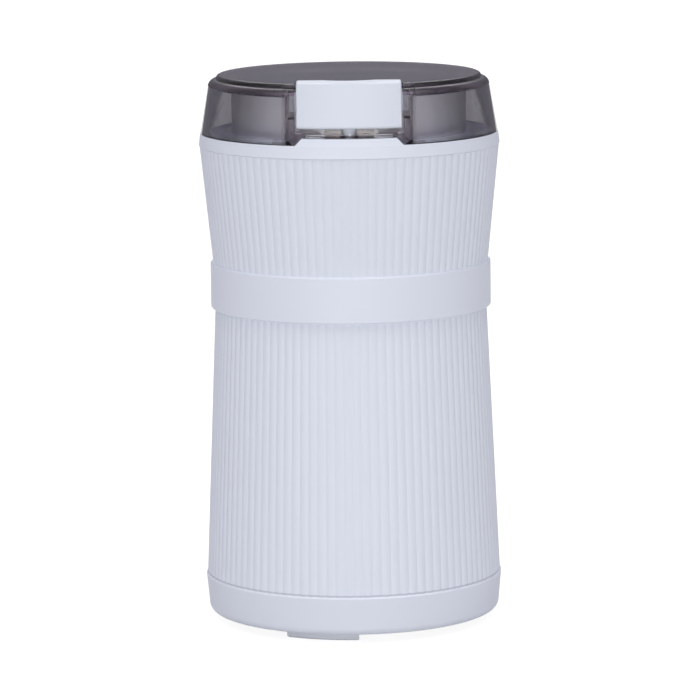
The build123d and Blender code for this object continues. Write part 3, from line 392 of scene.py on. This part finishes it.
plasticLooks = {
    "shell_white": {
        "colour": (0.79, 0.832, 0.908),
        "rough": (0.54, 0.62),
        "grainDepth": 0.00002,
        # painted shadow: a darker band just above the base, in the groove under the lower
        # housing
        "seams": ((0.01502, 0.0156),),
        "seamShadowTint": (0.74, 0.74, 0.76, 1.0),
    },
    "band_white": {
        "colour": (0.795, 0.837, 0.913),
        "rough": (0.50, 0.58),
        "grainDepth": 0.000012,
    },
    "button_white": {
        # painted shade: a darker copy of the shell white, offsetting the stronger front light
        # on the button face
        "colour": (0.735, 0.78, 0.85),
        "rough": (0.40, 0.46),
        "grainDepth": 0.000006,
    },
    "rod_plastic": {
        "colour": (0.78, 0.79, 0.80),
        "rough": (0.40, 0.50),
        "grainDepth": 0.00001,
    },
    "grey_rubber": {
        "colour": (0.80, 0.83, 0.89),
        "rough": (0.60, 0.75),
        "grainDepth": 0.00003,
        "grain": {"Fine": 2200.0},
    },
    "black_plastic": {
        "colour": (0.035, 0.035, 0.038),
        "rough": (0.45, 0.6),
        "grainDepth": 0.00003,
    },
    "carbon": {
        "colour": (0.045, 0.045, 0.05),
        "rough": (0.55, 0.75),
        "grainDepth": 0.00004,
    },
    "lead_brown": {
        "colour": (0.18, 0.08, 0.035),
        "rough": (0.35, 0.45),
        "grainDepth": 0.00001,
    },
    "lead_blue": {
        "colour": (0.04, 0.13, 0.42),
        "rough": (0.35, 0.45),
        "grainDepth": 0.00001,
    },
}
steelLooks = {
    "cup_steel": {
        "colour": (0.95, 0.95, 0.955),
        "rough": (0.47, 0.53),
        "lineDepth": 0.0000015,
        "drawn": 0.8,
    },
    "blade_steel": {
        "colour": (0.70, 0.70, 0.71),
        "rough": (0.18, 0.30),
        "lineDepth": 0.000006,
    },
    "shaft_steel": {
        "colour": (0.60, 0.60, 0.61),
        "rough": (0.2, 0.3),
        "lineDepth": 0.000004,
    },
    "zinc_steel": {
        "colour": (0.66, 0.66, 0.63),
        "rough": (0.28, 0.42),
        "lineDepth": 0.000004,
    },
    "die_cast": {
        "colour": (0.55, 0.56, 0.57),
        "rough": (0.42, 0.58),
        "lineDepth": 0.00002,
        "lines": {"Across": 900.0, "Along": 60.0},
    },
    "bronze": {
        "colour": (0.62, 0.44, 0.20),
        "rough": (0.3, 0.42),
        "lineDepth": 0.000006,
    },
}
layerLooks = {
    "laminations": {
        "colour": (0.30, 0.31, 0.33),
        "metal": 1.0,
        "pitch": 0.0005,
        "wobble": 0.00002,
        "rough": (0.35, 0.6),
        "depth": 0.00006,
    },
    "copper": {
        "colour": (0.68, 0.30, 0.13),
        "metal": 1.0,
        "pitch": 0.0006,
        "wobble": 0.0004,
        "rough": (0.25, 0.5),
        "depth": 0.0002,
    },
}


def materialName(slot):
    first, *rest = slot.split("_")
    return first + "".join(word.title() for word in rest)


materials = {"smoked_clear": smokedMaterial()}
for slot, look in plasticLooks.items():
    materials[slot] = plasticMaterial(materialName(slot), look)
for slot, look in steelLooks.items():
    materials[slot] = steelMaterial(materialName(slot), look)
for slot, look in layerLooks.items():
    materials[slot] = layeredMaterial(materialName(slot), look)

slotOf = {part["node"]: part["material_slot"] for part in frame["record"]["subparts"]}
for name, node in nodes.items():
    for holder in node.material_slots:
        holder.material = materials[slotOf[name]]
print("materials made:", len(materials))


springLook = {"wire": 0.0005, "turns": 3, "steps": 32, "sides": 12, "smoothAngle": 50}


def makeRodSpring():
    # coil under the rod's flange, made at its rest length and hung on the housing
    low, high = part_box("rod_spring")
    middle = (low + high) / 2
    wire = springLook["wire"] / 2
    reach = middle.x - low.x - wire
    bpy.ops.object.select_all(action="DESELECT")
    bpy.ops.mesh.primitive_circle_add(
        vertices=springLook["sides"],
        radius=wire,
        location=(reach, 0.0, low.z + wire),
        rotation=(math.pi / 2, 0.0, 0.0),
    )
    coil = bpy.context.object
    coil.name = "rodCoil"
    bpy.ops.object.transform_apply(location=True, rotation=True, scale=True)
    turn = coil.modifiers.new("turns", "SCREW")
    turn.iterations = springLook["turns"]
    turn.screw_offset = (high.z - low.z - 2 * wire) / springLook["turns"]
    turn.steps = turn.render_steps = springLook["steps"]
    bpy.ops.object.modifier_apply(modifier=turn.name)
    bpy.ops.object.mode_set(mode="EDIT")
    bpy.ops.mesh.select_all(action="SELECT")
    bpy.ops.mesh.fill_holes(sides=0)
    bpy.ops.mesh.normals_make_consistent(inside=False)
    bpy.ops.object.mode_set(mode="OBJECT")
    bpy.ops.object.shade_smooth_by_angle(angle=math.radians(springLook["smoothAngle"]))
    bpy.ops.transform.translate(value=(middle.x, middle.y, 0.0))
    bpy.ops.object.transform_apply(location=True, rotation=True, scale=True)
    coil.data.materials.append(materials[slotOf["rod_spring"]])
    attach(coil, "housing")
    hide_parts("rod_spring")
    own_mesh(coil)


makeRodSpring()
print("spring made")


stageLook = {
    "size": 5.6,
    "colour": (0.58, 0.58, 0.59, 1.0),
    "glow": 0.89,
    "seenColour": (0.30, 0.30, 0.30, 1.0),
    "seenBy": ("Is Camera Ray", "Is Glossy Ray", "Is Transmission Ray"),
}


def makeFloor():
    # looks white, and throws less light on the part than it shows
    bpy.ops.object.select_all(action="DESELECT")
    bpy.ops.mesh.primitive_plane_add(size=stageLook["size"])
    floor = bpy.context.object
    floor.name = "floor"
    made = bpy.data.materials.new("paleFloor")
    made.use_nodes = True
    tree = made.node_tree
    tree.nodes.remove(tree.nodes["Principled BSDF"])
    path = addNode(tree, "ShaderNodeLightPath").outputs
    seen = 0.0
    for ray in stageLook["seenBy"]:
        seen = mathNode(tree, "MAXIMUM", seen, path[ray])
    matt = addNode(tree, "ShaderNodeBsdfDiffuse", {"Color": stageLook["colour"]})
    dim = addNode(tree, "ShaderNodeBsdfDiffuse", {"Color": stageLook["seenColour"]})
    glow = addNode(tree, "ShaderNodeEmission", {"Strength": stageLook["glow"]})
    white = addNode(tree, "ShaderNodeAddShader", {0: dim.outputs[0], 1: glow.outputs[0]})
    links = {0: seen, 1: matt.outputs[0], 2: white.outputs[0]}
    mix = addNode(tree, "ShaderNodeMixShader", links)
    tree.links.new(mix.outputs[0], tree.nodes["Material Output"].inputs["Surface"])
    floor.data.materials.append(made)


lightLook = {
    "world": (0.245, 0.235, 0.275, 1.0),
    "aim": (0.0, 0.0, 0.09),
    "lamps": {
        "left": {"place": (-1.62, -0.9, 1.9), "size": (1.1, 0.8), "power": 7.5},
        "right": {"place": (1.62, -0.9, 1.9), "size": (1.1, 0.8), "power": 7.0},
        "front": {"place": (0.0, -2.6, 0.33), "size": (2.5, 0.64), "power": 25.2},
        "top": {"place": (0.0, -0.25, 2.1), "size": (1.8, 1.6), "power": 21.0},
        "fill": {"place": (0.0, 1.7, 1.6), "size": (1.4, 1.0), "power": 14.0},
    },
}


def makeLights():
    world = bpy.data.worlds.new("studio")
    scene.world = world
    world.use_nodes = True
    sky = world.node_tree.nodes["Background"]
    sky.inputs["Color"].default_value = lightLook["world"]
    for name, look in lightLook["lamps"].items():
        lamp = bpy.data.lights.new(name + "Lamp", "AREA")
        lamp.shape = "RECTANGLE"
        lamp.size, lamp.size_y = look["size"]
        lamp.energy = look["power"]
        holder = bpy.data.objects.new(name + "Lamp", lamp)
        scene.collection.objects.link(holder)
        holder.location = look["place"]
        aim = Vector(lightLook["aim"]) - Vector(look["place"])
        holder.rotation_euler = aim.to_track_quat("-Z", "Y").to_euler()


cameraLook = {
    "place": (-0.0005, -1.41, 0.302),
    "tilt": 81.278,
    "roll": -0.65,
    "lens": 230.4,
    "sensor": 36.0,
    "clip": (0.05, 50.0),
}


def makeCamera():
    data = bpy.data.cameras.new("photoCamera")
    data.sensor_width = cameraLook["sensor"]
    data.lens = cameraLook["lens"]
    data.clip_start, data.clip_end = cameraLook["clip"]
    camera = bpy.data.objects.new("photoCamera", data)
    scene.collection.objects.link(camera)
    tilt = Matrix.Rotation(math.radians(cameraLook["tilt"]), 4, "X")
    roll = Matrix.Rotation(math.radians(cameraLook["roll"]), 4, "Z")
    camera.matrix_world = Matrix.Translation(cameraLook["place"]) @ tilt @ roll
    scene.camera = camera


makeFloor()
makeLights()
makeCamera()
print("stage, lamps and camera set")
